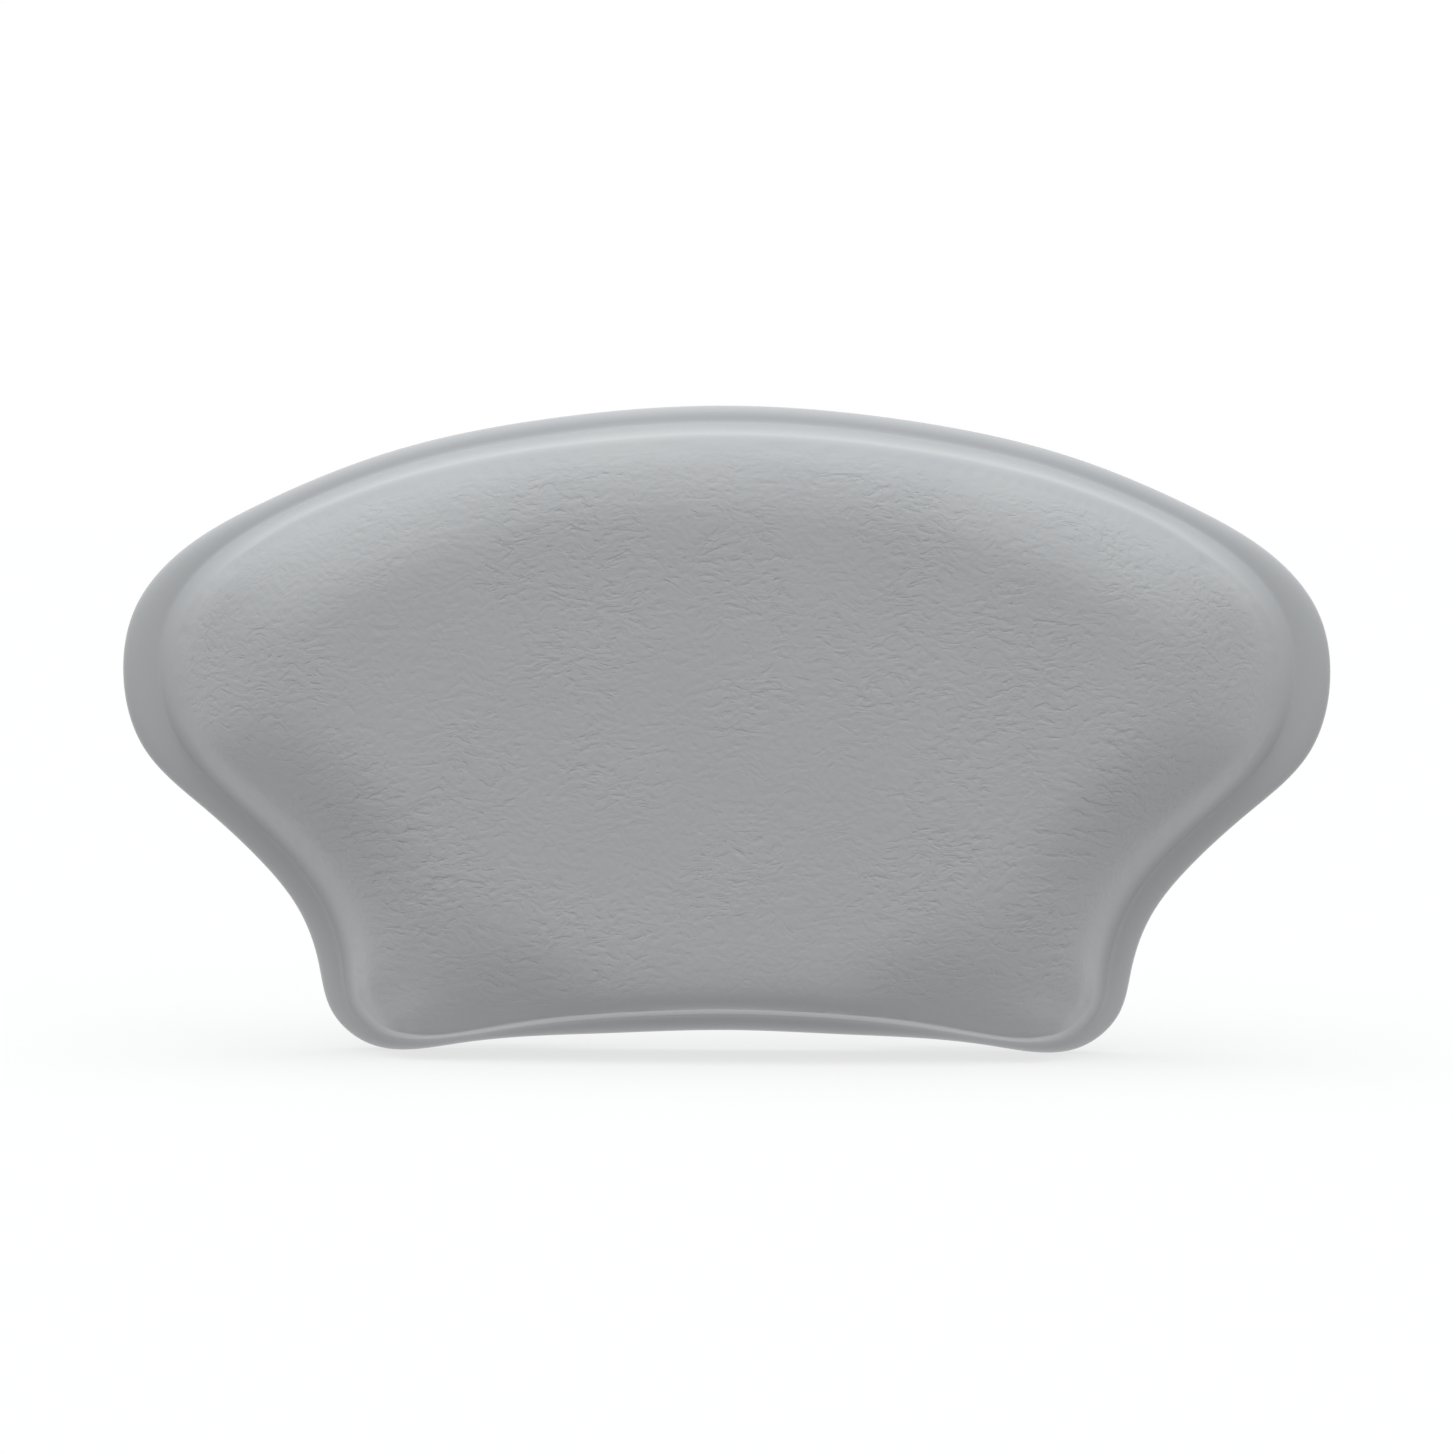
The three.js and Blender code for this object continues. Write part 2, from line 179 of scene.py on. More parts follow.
# Fineness of the meshes
STATIONS = 720
SECTION_SAMPLES = 240
SECTION_ROWS = 52
LIP_POINTS = 12
BACK_EDGE_POINTS = 24
FLANGE_POINTS = 40
WALL_POINTS = 60
RING_REACH = 4 * MM
GRID_STEP = 1.15 * MM
GRID_ROOM = 0.55 * GRID_STEP
CURVE_SAMPLES = 40 * STATIONS
NEAR_STATIONS = 1680
NEAR_CHUNK = 1500
NEAR_POWER = 8
INNER_STATIONS = 240
INNER_STEP = 4 * MM
INNER_ROOM = 0.5 * INNER_STEP
CORE_ROWS = 16
PAD_ROWS = 14
LATHE_SIDES = 96
RIB_SIDES = 24
TAB_TIP_POINTS = 25
CORNER_POINTS = 5
BEND_POINTS = 14

# Smoothing, easing and unevenness of the forms
WIDTH_SMOOTHING = 8 * MM
FILLET = 0.6 * MM
KERNEL_SIGMAS = 4
END_SIGMAS = 3
EASE_ROUNDS_EDGE = 8
EASE_ROUNDS_MIDDLE = 52
EASE_FADE = (6 * MM, 16 * MM)
WAVES_FADE = (2 * RING_REACH, 3 * RING_REACH)
SLOW_WAVES_MM = 0.07
QUICK_WAVES_MM = 0.035

# Tolerances
WELD_DISTANCE = 1e-6
POINT_TOLERANCE = 1e-7
LEAST_RISE = 1e-9

# Triangles: the number that asks for those inside the edges alone, and the height of an even one
INSIDE_EDGES = 1
EVEN_HEIGHT_SHARE = math.sqrt(0.75)

# Where the leather's marks fade in or out: by the distance from the wall's foot, by that distance as a
# share of wall and crown, by how far inward points down, up or across at the edge beside them, by the
# share of the half width, and by the pull. The folds lean by a share of the distance.
GRAIN_FADE = (3 * MM, 11 * MM)
FOLDS_FADE_IN = (0.2, 0.42)
FOLDS_FADE_OUT = (0.8, 1.25)
RIPPLES_FADE_IN = (0.1, 0.3)
RIPPLES_FADE_OUT = (0.75, 1.2)
TOP_INWARD_DOWN = (0.35, 0.75)
FLANK_INWARD_UP = (0.05, 0.3)
FLANK_INWARD_ACROSS = (0.4, 0.7)
FLANK_END = (0.6, 0.76)
STEADY_PULL = (0.7, 0.9)
FOLD_LEAN = 0.2

# Depths of the marks in leather, plastic and vinyl
FINE_DEPTH = 0.02 * MM
CUP_GRAIN_DEPTH = 0.015 * MM
PEBBLE_DEPTH = 0.11 * MM
WRINKLE_DEPTH = 0.17 * MM
RIPPLE_DEPTH = 0.16 * MM
FOLD_DEPTH = 0.17 * MM


def smoothstep(value, start, end):
    """0 up to the start, 1 from the end on, and a smooth rise between them."""
    share = np.clip((value - start) / (end - start), 0, 1)
    return share * share * (3 - 2 * share)


def window(value, fade_in, fade_out):
    """1 between a smooth rise and a smooth fall, and 0 outside them."""
    return smoothstep(value, *fade_in) * (1 - smoothstep(value, *fade_out))


def quadratic(start, towards, end, share):
    """Place on the curve from a start to an end that bends towards the corner between them."""
    return (1 - share) ** 2 * start + 2 * share * (1 - share) * towards + share**2 * end


def ring_edges(count, start=0):
    """Edges that join a number of points, from the start on, into a closed line."""
    return [(start + i, start + (i + 1) % count) for i in range(count)]


def smoothed_round(values, sigma):
    """Values round a closed line, smoothed by a Gaussian of sigma steps."""
    waves = np.fft.rfft(values, axis=0)
    turns = 2 * np.pi * np.arange(len(waves)) / len(values)
    return np.fft.irfft(waves * np.exp(-0.5 * (turns * sigma) ** 2)[:, None], len(values), axis=0)


def closed_cubic(points, samples):
    """Points on the smooth closed curve through the given ones, and the knot that each lies after."""
    ahead = np.roll(points, -1, 0)
    steps = np.linalg.norm(ahead - points, axis=1)
    before = np.roll(steps, 1)
    count = len(points)
    here = np.arange(count)
    matrix = np.zeros((count, count))
    matrix[here, here - 1] = before
    matrix[here, here] = 2 * (before + steps)
    matrix[here, (here + 1) % count] = steps
    slopes = (ahead - points) / steps[:, None]
    bends = np.linalg.solve(matrix, 6 * (slopes - np.roll(slopes, 1, 0)))
    knots = np.concatenate([[0], np.cumsum(steps)])
    along = np.linspace(0, knots[-1], samples, endpoint=False)
    start = np.clip(np.searchsorted(knots, along, "right") - 1, 0, count - 1)
    end = (start + 1) % count
    length = steps[start]
    right = (along - knots[start]) / length
    left = 1 - right
    curve = left[:, None] * points[start] + right[:, None] * points[end]
    curve += ((left**3 - left) * length**2)[:, None] * bends[start] / 6
    curve += ((right**3 - right) * length**2)[:, None] * bends[end] / 6
    return curve, start + right


class Outline:
    """Even stations round the pillow: the place, inward direction, widths and slope of the edge."""

    def __init__(self, count):
        left = [(-x, y, widths) for x, y, widths in OUTLINE_SHARES]
        around = left + OUTLINE_SHARES[-2:0:-1]
        knots = np.array([(x * HALF_WIDTH, y * HALF_HEIGHT) for x, y, _ in around])
        widths = np.array([w for _, _, w in around])
        curve, knot = closed_cubic(knots, CURVE_SAMPLES)
        steps = np.linalg.norm(np.roll(curve, -1, 0) - curve, axis=1)
        travelled = np.concatenate([[0], np.cumsum(steps)])
        self.length = travelled[-1]
        self.step = self.length / count
        wanted = np.arange(count) * self.step
        wrapped = np.vstack([curve, curve[:1]])
        self.place = np.stack([np.interp(wanted, travelled, wrapped[:, axis]) for axis in (0, 1)], 1)
        at_knot = np.interp(wanted, travelled, np.append(knot, len(knots)))
        numbers = np.arange(len(knots) + 1)
        closed = np.vstack([widths, widths[:1]])
        plain = np.stack([np.interp(at_knot, numbers, closed[:, column]) for column in range(4)], 1)
        smooth = smoothed_round(plain, WIDTH_SMOOTHING / self.step)
        self.flange, self.wall, self.crown, self.slope = smooth.T
        tangent = np.roll(self.place, -1, 0) - np.roll(self.place, 1, 0)
        tangent /= np.linalg.norm(tangent, axis=1)[:, None]
        self.inward = np.stack([-tangent[:, 1], tangent[:, 0]], 1)
        self.foot = self.place + self.inward * self.flange[:, None]
        self.angle = 2 * np.pi * np.arange(count) / count
        self.square_widths()

    def square_widths(self):
        """The named widths of wall and crown run towards the pillow's middle. This turns them square to
        the edge, and keeps the crown short of the middle."""
        middle = self.foot * MIDDLE_SHARES
        to_middle = np.linalg.norm(middle - self.foot, axis=1)
        self.heading = (middle - self.foot) / to_middle[:, None]
        share = (self.heading * self.inward).sum(1)
        crown = np.minimum(self.crown, to_middle * MIDDLE_LIMIT_SHARE - self.wall)
        self.wall = self.wall * share
        self.crown = crown * share

    def at(self, inset):
        """Places at a distance in from the outline, one number for all stations or one for each."""
        return self.place + self.inward * np.broadcast_to(inset, len(self.place))[:, None]

    def deep(self, inset):
        """Places further in than the flange, where the sections head for the pillow's middle."""
        return self.foot + self.heading * (inset - self.flange)[:, None]


def front_height(across):
    """Height of the front face: level across the middle, and falling towards the tips of the wings."""
    level = HALF_WIDTH * MIDDLE_SHARES[0]
    beyond = np.maximum(0, np.abs(across) - level) / (HALF_WIDTH - level)
    return THICKNESS - (THICKNESS - WING_THICKNESS) * beyond**2


def cushion_share(distance, wall, crown, slope):
    """Height of the wall and crown over the flange, as a share, at a distance in from the wall's foot."""
    reach = wall + crown
    crown_share = np.minimum(slope * reach / (THICKNESS - FLANGE_THICKNESS), CROWN_LIMIT_SHARE)
    wall_left = np.maximum(0, 1 - distance / wall)
    crown_left = np.maximum(0, 1 - distance / reach)
    return (1 - crown_share) * (1 - wall_left**WALL_ROUND_POWER) + crown_share * (1 - crown_left**2)


def cushion_height(across, distance, beside):
    """Height of the front at a distance in from the wall's foot, from the widths and slope of the edge
    beside it."""
    rise = front_height(across) - FLANGE_THICKNESS
    return FLANGE_THICKNESS + rise * cushion_share(distance, beside.wall, beside.crown, beside.slope)


def flange_rise(share):
    """Rise of the flange's rounded edge at a share of the arc that it is part of."""
    return (1 - (1 - share) ** FLANGE_POWER) ** (1 / FLANGE_POWER)


def section(outline):
    """The section at every station, from the lip to just up the wall, as inset and height."""
    middle = FLANGE_THICKNESS / 2
    lip = np.linspace(LIP_REACH, BACK_EDGE_REACH, LIP_POINTS, endpoint=False)[:, None]
    quarter = np.linspace(0, np.pi / 2, BACK_EDGE_POINTS)[:, None]
    sweep = np.linspace(0, 1, FLANGE_POINTS)[1:, None] ** 2
    up = np.linspace(0, 1, WALL_POINTS)[1:, None] ** 2 * RING_REACH
    ones = np.ones(len(outline.place))
    foot_share = flange_rise(sweep / FLANGE_ARC_SHARE) / flange_rise(1 / FLANGE_ARC_SHARE)
    insets = [
        lip * ones,
        BACK_EDGE_REACH * (1 - np.sin(quarter)) * ones,
        sweep * outline.flange,
        outline.flange + up,
    ]
    across = outline.place[:, 0] + outline.inward[:, 0] * insets[-1]
    heights = [
        0 * lip * ones,
        middle * (1 - np.cos(quarter)) * ones,
        middle * (1 + foot_share) * ones,
        cushion_height(across, up, outline),
    ]
    return np.stack([np.vstack(insets), np.vstack(heights)], 2)


def rounded_section(rough):
    """The sections with even spacing and a rounded inner corner at the wall's foot, ending as they did."""
    even = resampled(rough, SECTION_SAMPLES)
    length = np.linalg.norm(np.diff(even, axis=0), axis=2).sum(0)
    sigma = FILLET / (length.mean() / SECTION_SAMPLES)
    reach = int(KERNEL_SIGMAS * sigma)
    kernel = np.exp(-0.5 * (np.arange(-reach, reach + 1) / sigma) ** 2)
    kernel /= kernel.sum()
    padded = np.concatenate([np.repeat(even[:1], reach, 0), even, np.repeat(even[-1:], reach, 0)])
    smooth = sum(weight * padded[i:i + len(even)] for i, weight in enumerate(kernel))
    from_end = np.minimum(np.arange(len(even)), np.arange(len(even))[::-1])
    keep = smoothstep(from_end, 0, END_SIGMAS * sigma)[:, None, None]
    return resampled(even + (smooth - even) * keep, SECTION_ROWS)


def resampled(lines, count):
    """Lines of points, one for each station, with their points spread evenly along them."""
    steps = np.linalg.norm(np.diff(lines, axis=0), axis=2)
    travelled = np.vstack([np.zeros(lines.shape[1]), np.cumsum(steps, 0)])
    result = np.empty((count, lines.shape[1], 2))
    for station in range(lines.shape[1]):
        wanted = np.linspace(0, travelled[-1, station], count)
        for axis in (0, 1):
            result[:, station, axis] = np.interp(wanted, travelled[:, station], lines[:, station, axis])
    return result


class Nearness:
    """For each place on the front: its distance from the wall's foot, and the widths, slope and angle of
    the edge beside it. True is the plain distance. Far in, distance and widths are means over the whole
    edge, weighted by a power of the nearness. Pull is near 1 where most of that weight lies one way."""

    def __init__(self, points, outline):
        power = NEAR_POWER
        scale = math.sqrt(math.pi) * math.gamma((power - 1) / 2) / math.gamma(power / 2)
        foot = outline.foot
        ahead = np.roll(foot, -1, 0)
        spacing = np.linalg.norm(ahead - foot, axis=1)
        edges = np.stack([outline.wall, outline.crown, outline.slope], 1)
        columns = []
        for chunk in np.array_split(points, max(1, len(points) // NEAR_CHUNK)):
            offset = chunk[:, None] - foot[None]
            square = (offset**2).sum(2)
            nearest = square.argmin(1)
            weight = square ** (-power / 2) * spacing
            total = weight.sum(1)
            smooth = (total / scale) ** (-1 / (power - 1))
            mean = (weight @ edges) / total[:, None]
            facing = offset / np.sqrt(square)[:, :, None]
            pull = np.linalg.norm((weight[:, :, None] * facing).sum(1), axis=1) / total
            true = np.full(len(chunk), np.inf)
            for start in (nearest - 1, nearest):
                base = foot[start]
                along = ahead[start] - base
                share = np.clip(((chunk - base) * along).sum(1) / (along**2).sum(1), 0, 1)
                gap = np.linalg.norm(chunk - base - along * share[:, None], axis=1)
                true = np.minimum(true, gap)
            deep = smoothstep(true, RING_REACH, 2 * RING_REACH)
            widths = edges[nearest] + (mean - edges[nearest]) * deep[:, None]
            distance = true + (smooth - true) * deep
            columns.append(np.column_stack([distance, widths, outline.angle[nearest], true, pull]))
        table = np.vstack(columns)
        self.distance, self.wall, self.crown, self.slope, self.angle, self.true, self.pull = table.T


def hex_grid(step):
    """Points of an even triangular grid over the whole pillow."""
    rows = int(2 * HALF_HEIGHT / (step * EVEN_HEIGHT_SHARE)) + 2
    columns = int(2 * HALF_WIDTH / step) + 2
    row, column = np.mgrid[0:rows, 0:columns]
    x = (column + 0.5 * (row % 2)) * step - HALF_WIDTH
    y = row * step * EVEN_HEIGHT_SHARE - HALF_HEIGHT - step
    return np.column_stack([x.ravel(), y.ravel()])


def inside(points, ring):
    """Which points lie inside a closed line."""
    crossed = np.zeros(len(points), bool)
    for (x0, y0), (x1, y1) in zip(ring, np.roll(ring, -1, 0)):
        spans = (y0 > points[:, 1]) != (y1 > points[:, 1])
        if y0 != y1:
            crossed ^= spans & (points[:, 0] < (x1 - x0) * (points[:, 1] - y0) / (y1 - y0) + x0)
    return crossed


def waviness(x, y):
    """Faint unevenness of the foam under the skin: slow waves, and lower and quicker ones."""
    slow = np.sin(x / 0.021 + 1.3) * np.sin(y / 0.017 + 0.4) + np.sin((x + 1.7 * y) / 0.031 + 2.1)
    quick = np.sin((x - 0.6 * y) / 0.0083 + 0.7) * np.sin((y + 0.4 * x) / 0.0097 + 1.9)
    return (SLOW_WAVES_MM * slow + QUICK_WAVES_MM * quick) * MM


def stood(places, heights):
    """Points of the lying pillow, stood up."""
    return np.column_stack([places[:, 0], -np.broadcast_to(heights, len(places)), places[:, 1]])


class Shape:
    """Collects the points and faces of one piece."""

    def __init__(self):
        self.points = []
        self.faces = []
        self.count = 0

    def add(self, points):
        """Adds points, and gives the number of the first."""
        start = self.count
        self.points.append(points)
        self.count += len(points)
        return start

    def loft(self, levels):
        """Walls between rings of places, each with its height. Those of anticlockwise rings face outwards
        where the rings rise."""
        rings = [stood(ring, height) for ring, height in levels]
        size = len(rings[0])
        start = self.add(np.vstack(rings))
        here = np.arange(size)
        following = (here + 1) % size
        for row in range(len(rings) - 1):
            low = start + row * size
            high = low + size
            quads = np.column_stack([low + here, low + following, high + following, high + here])
            self.faces += quads.tolist()

    def flat(self, ring, height, faces_front, holes=()):
        """Level face inside a ring of places, less its holes."""
        lines = [ring, *holes]
        places = np.vstack(lines)
        edges = []
        start = 0
        for line in lines:
            edges += ring_edges(len(line), start)
            start += len(line)
        triangles = triangulated(places, edges)
        first = self.add(stood(places, height))
        middles = places[triangles].mean(1)
        kept = inside(middles, ring)
        for hole in holes:
            kept &= ~inside(middles, hole)
        for triangle in triangles[kept].tolist():
            corners = triangle if faces_front else triangle[::-1]
            self.faces.append([first + corner for corner in corners])

    def turned(self, profile, centre):
        """Solid of revolution about the line through the centre that runs from back to front."""
        self.loft([(circle_at(centre, radius), height) for radius, height in profile])

    def finished(self, name, attributes=None, sharp_degrees=None):
        """The piece as an object, with meeting points welded and faces without area left out."""
        mesh = bpy.data.meshes.new(name)
        mesh.from_pydata(np.vstack(self.points).tolist(), [], self.faces)
        for label, values in (attributes or {}).items():
            kind, field = ("FLOAT_VECTOR", "vector") if values.ndim == 2 else ("FLOAT", "value")
            layer = mesh.attributes.new(label, kind, "POINT")
            layer.data.foreach_set(field, values.astype(np.float32).ravel())
        soup = bmesh.new()
        soup.from_mesh(mesh)
        bmesh.ops.remove_doubles(soup, verts=soup.verts, dist=WELD_DISTANCE)
        bmesh.ops.dissolve_degenerate(soup, edges=soup.edges, dist=POINT_TOLERANCE)
        soup.to_mesh(mesh)
        soup.free()
        mesh.polygons.foreach_set("use_smooth", np.ones(len(mesh.polygons), bool))
        if sharp_degrees:
            mesh.set_sharp_from_angle(angle=math.radians(sharp_degrees))
        mesh.update()
        piece = bpy.data.objects.new(name, mesh)
        bpy.context.scene.collection.objects.link(piece)
        return piece


def triangulated(places, edges):
    """Triangles between places that keep the given edges, as numbers of places."""
    flat = [Vector(place) for place in places.tolist()]
    result = delaunay_2d_cdt(flat, edges, [], INSIDE_EDGES, POINT_TOLERANCE)
    _, _, triangles, origin, _, _ = result
    kept = np.array([group[0] for group in origin])
    return kept[np.array(triangles)]


def front_grid(ring, step, room):
    """Places for the front inside a ring, and their nearness to the wall's foot."""
    grid = hex_grid(step)
    grid = grid[inside(grid, ring)]
    near = Nearness(grid, Outline(NEAR_STATIONS))
    clear = near.true > RING_REACH + room
    for name, values in vars(near).items():
        setattr(near, name, values[clear])
    return grid[clear], near


def eased(heights, triangles, rounds):
    """Heights drawn towards the mean of their neighbours, each for its own number of rounds."""
    start = triangles[:, [0, 1, 2]].ravel()
    end = triangles[:, [1, 2, 0]].ravel()
    neighbours = np.bincount(start, minlength=len(heights))
    for number in range(int(rounds.max())):
        mean = np.bincount(start, heights[end], len(heights)) / neighbours
        heights = np.where(number < rounds, (heights + mean) / 2, heights)
    return heights


def skin_surface():
    """Outside of the skin: rings round the edge, and a fine triangle grid over the front."""
    outline = Outline(STATIONS)
    rows = rounded_section(section(outline))
    rings = [outline.at(row[:, 0]) for row in rows]
    shape = Shape()
    shape.loft(zip(rings, rows[:, :, 1]))
    last = rings[-1]
    grid, near = front_grid(last, GRID_STEP, GRID_ROOM)
    triangles = triangulated(np.vstack([last, grid]), ring_edges(STATIONS))
    height = np.concatenate([rows[-1, :, 1], cushion_height(grid[:, 0], near.distance, near)])
    rounds = np.rint(EASE_ROUNDS_EDGE + EASE_ROUNDS_MIDDLE * smoothstep(near.true, *EASE_FADE))
    rounds = np.concatenate([np.zeros(STATIONS), rounds])
    shape.add(stood(grid, eased(height, triangles, rounds)[STATIONS:]))
    shape.faces += (triangles + (SECTION_ROWS - 1) * STATIONS).tolist()
    distance = np.concatenate([(rows[:, :, 0] - outline.flange).ravel(), near.distance])
    points = np.vstack(shape.points)
    points[:, 1] -= waviness(points[:, 0], points[:, 2]) * smoothstep(distance, *WAVES_FADE)
    shape.points = [points]
    marks = skin_marks(points[:, 0], distance, outline, near)
    return shape.finished("cushion_skin_leather", marks)


def wound(radius, angle, distance):
    """Places on a drum as long round as the pillow, on which a grain runs round it without a break."""
    return np.column_stack([radius * np.cos(angle), radius * np.sin(angle), distance])


def skin_marks(across, distance, outline, near):
    """Values at the skin's points that say where its leather is grained, rippled and folded, and places
    for the ripples and for the folds, which lean."""
    angle = np.concatenate([np.tile(outline.angle, SECTION_ROWS), near.angle])
    reach = np.concatenate([np.tile(outline.wall + outline.crown, SECTION_ROWS), near.wall + near.crown])
    pull = np.concatenate([np.ones(SECTION_ROWS * STATIONS), near.pull])
    radius = outline.length / (2 * np.pi)
    lean = angle + FOLD_LEAN * distance / radius * np.sign(across)
    share = distance / reach
    inward = outline.inward[np.rint(angle / (2 * np.pi) * STATIONS).astype(int) % STATIONS]
    steady = smoothstep(pull, *STEADY_PULL)
    top = smoothstep(-inward[:, 1], *TOP_INWARD_DOWN)
    flank = smoothstep(inward[:, 1], *FLANK_INWARD_UP)
    flank *= smoothstep(np.abs(inward[:, 0]), *FLANK_INWARD_ACROSS)
    flank *= 1 - smoothstep(np.abs(across) / HALF_WIDTH, *FLANK_END)
    return {
        "around": wound(radius, angle, distance),
        "leaning": wound(radius, lean, distance),
        "folds": window(share, FOLDS_FADE_IN, FOLDS_FADE_OUT) * flank * steady,
        "ripples": window(share, RIPPLES_FADE_IN, RIPPLES_FADE_OUT) * top * steady,
        "grain": smoothstep(distance, *GRAIN_FADE),
    }


def moved_in(rows, distance):
    """Sections moved into the material, square to their own direction."""
    ahead = np.gradient(rows, axis=0)
    ahead /= np.linalg.norm(ahead, axis=2)[:, :, None]
    return rows + distance * np.stack([ahead[:, :, 1], -ahead[:, :, 0]], 2)


def cut_sections(rows, low, high, count):
    """The part of each section between two heights, with evenly spaced points."""
    result = np.empty((count, rows.shape[1], 2))
    for station in range(rows.shape[1]):
        inset, height = rows[:, station].T
        numbers = np.arange(len(height))
        rising = np.maximum.accumulate(height + numbers * LEAST_RISE)
        wanted = np.linspace(*np.interp([low, high], rising, numbers), count)
        result[:, station, 0] = np.interp(wanted, numbers, inset)
        result[:, station, 1] = np.interp(wanted, numbers, rising)
        result[0, station, 1] = low
    return result


def inner_rows(outline):
    """Sections of the foam, which lies a clearance inside the skin."""
    even = resampled(section(outline), SECTION_SAMPLES)
    return moved_in(even, SKIN_THICKNESS + CLEARANCE)


def cup_centres():
    """Middle of each socket and its cup, as a place on the lying pillow."""
    centres = {}
    for name in PLACES:
        low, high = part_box("cup_socket_" + name)
        centres[name] = np.array([(low.x + high.x) / 2, (low.z + high.z) / 2])
    return centres


def circle_at(centre, radius):
    """Anticlockwise ring of places round a centre."""
    angle = np.linspace(0, 2 * np.pi, LATHE_SIDES, endpoint=False)
    return centre + radius * np.column_stack([np.cos(angle), np.sin(angle)])


def foam_core_piece():
    """Soft foam under the crown, from the pad to the skin."""
    outline = Outline(INNER_STATIONS)
    rows = cut_sections(inner_rows(outline), CORE_BACK, THICKNESS, CORE_ROWS)
    rings = [outline.at(row[:, 0]) for row in rows]
    shape = Shape()
    shape.flat(rings[0], CORE_BACK, False)
    shape.loft(zip(rings, rows[:, :, 1]))
    last = shape.count - INNER_STATIONS
    grid, near = front_grid(rings[-1], INNER_STEP, INNER_ROOM)
    height = cushion_height(grid[:, 0], near.distance, near)
    beyond = cushion_height(grid[:, 0], near.distance + MM, near)
    height -= (SKIN_THICKNESS + CLEARANCE) * np.sqrt(1 + ((beyond - height) / MM) ** 2)
    first = shape.add(stood(grid, height))
    triangles = triangulated(np.vstack([rings[-1], grid]), ring_edges(INNER_STATIONS))
    numbers = np.concatenate([last + np.arange(INNER_STATIONS), first + np.arange(len(grid))])
    shape.faces += numbers[triangles].tolist()
    return shape.finished("foam_core_soft", sharp_degrees=40)


def base_pad_piece():
    """Firm foam under the flange, with a pocket in its back for the plate and rooms for the sockets."""
    outline = Outline(INNER_STATIONS)
    rows = cut_sections(inner_rows(outline), PAD_BACK, PAD_FRONT, PAD_ROWS)
    rings = [outline.at(row[:, 0]) for row in rows]
    pocket = outline.deep(PLATE_INSET - CLEARANCE)
    ceiling = PLATE_FRONT + CLEARANCE
    room_front = PLATE_FRONT + SOCKET_FLANGE_THICKNESS + 2 * CLEARANCE
    barrel_front = SOCKET_FRONT + CLEARANCE
    shape = Shape()
    shape.flat(rings[0], PAD_BACK, False, [pocket])
    shape.loft(zip(rings, rows[:, :, 1]))
    shape.flat(rings[-1], PAD_FRONT, True)
    shape.loft([(pocket, ceiling), (pocket, PAD_BACK)])
    centres = cup_centres().values()
    wide = [circle_at(centre, SOCKET_FLANGE_RADIUS + CLEARANCE) for centre in centres]
    narrow = [circle_at(centre, HOLE_RADIUS) for centre in centres]
    shape.flat(pocket, ceiling, False, wide)
    for outer, inner in zip(wide, narrow):
        shape.loft([(outer, room_front), (outer, ceiling)])
        shape.loft([(inner, room_front), (outer, room_front)])
        shape.loft([(inner, barrel_front), (inner, room_front)])
        shape.flat(inner, barrel_front, False)
    return shape.finished("base_pad_foam", sharp_degrees=40)


def bevelled(low, high, bevel):
    """Insets and heights of the rings round a flat layer with slightly rounded edges."""
    middle = BEVEL_MIDDLE_SHARE * bevel
    corner = [(bevel, 0), (middle, middle), (0, bevel)]
    levels = [(inset, low + rise) for inset, rise in corner]
    return levels + [(inset, high - rise) for inset, rise in reversed(corner)]


def drilled_piece(name, inset, low, high):
    """Flat layer in the pillow's outline with a hole for each socket and slightly rounded edges."""
    outline = Outline(STATIONS)
    insets, heights = zip(*bevelled(low, high, LAYER_BEVEL))
    ring_at = outline.deep if inset > outline.flange.max() else outline.at
    rings = [ring_at(inset + back) for back in insets]
    shape = Shape()
    shape.loft(zip(rings, heights))
    holes = []
    for centre in cup_centres().values():
        circles = [circle_at(centre, HOLE_RADIUS + back) for back in insets]
        shape.loft(list(zip(circles, heights))[::-1])
        holes.append(circles[0])
    shape.flat(rings[0], low, False, holes)
    shape.flat(rings[-1], high, True, holes)
    return shape.finished(name, sharp_degrees=50)


def rounded(points, radius):
    """A line of points with each of its corners rounded off."""
    points = [np.array(point) for point in points]
    result = [points[0]]
    for before, corner, after in zip(points, points[1:], points[2:]):
        back = before - corner
        ahead = after - corner
        near = [np.linalg.norm(back), np.linalg.norm(ahead)]
        reach = min(radius, near[0] / 2, near[1] / 2)
        start = corner + back / near[0] * reach
        end = corner + ahead / near[1] * reach
        for share in np.linspace(0, 1, CORNER_POINTS):
            result.append(quadratic(start, corner, end, share))
    return result + [points[-1]]


def bend(start, towards, end):
    """A line of points on the curve from a start to an end that bends towards a corner."""
    share = np.linspace(0, 1, BEND_POINTS)[:, None]
    return quadratic(np.array(start), np.array(towards), np.array(end), share).tolist()


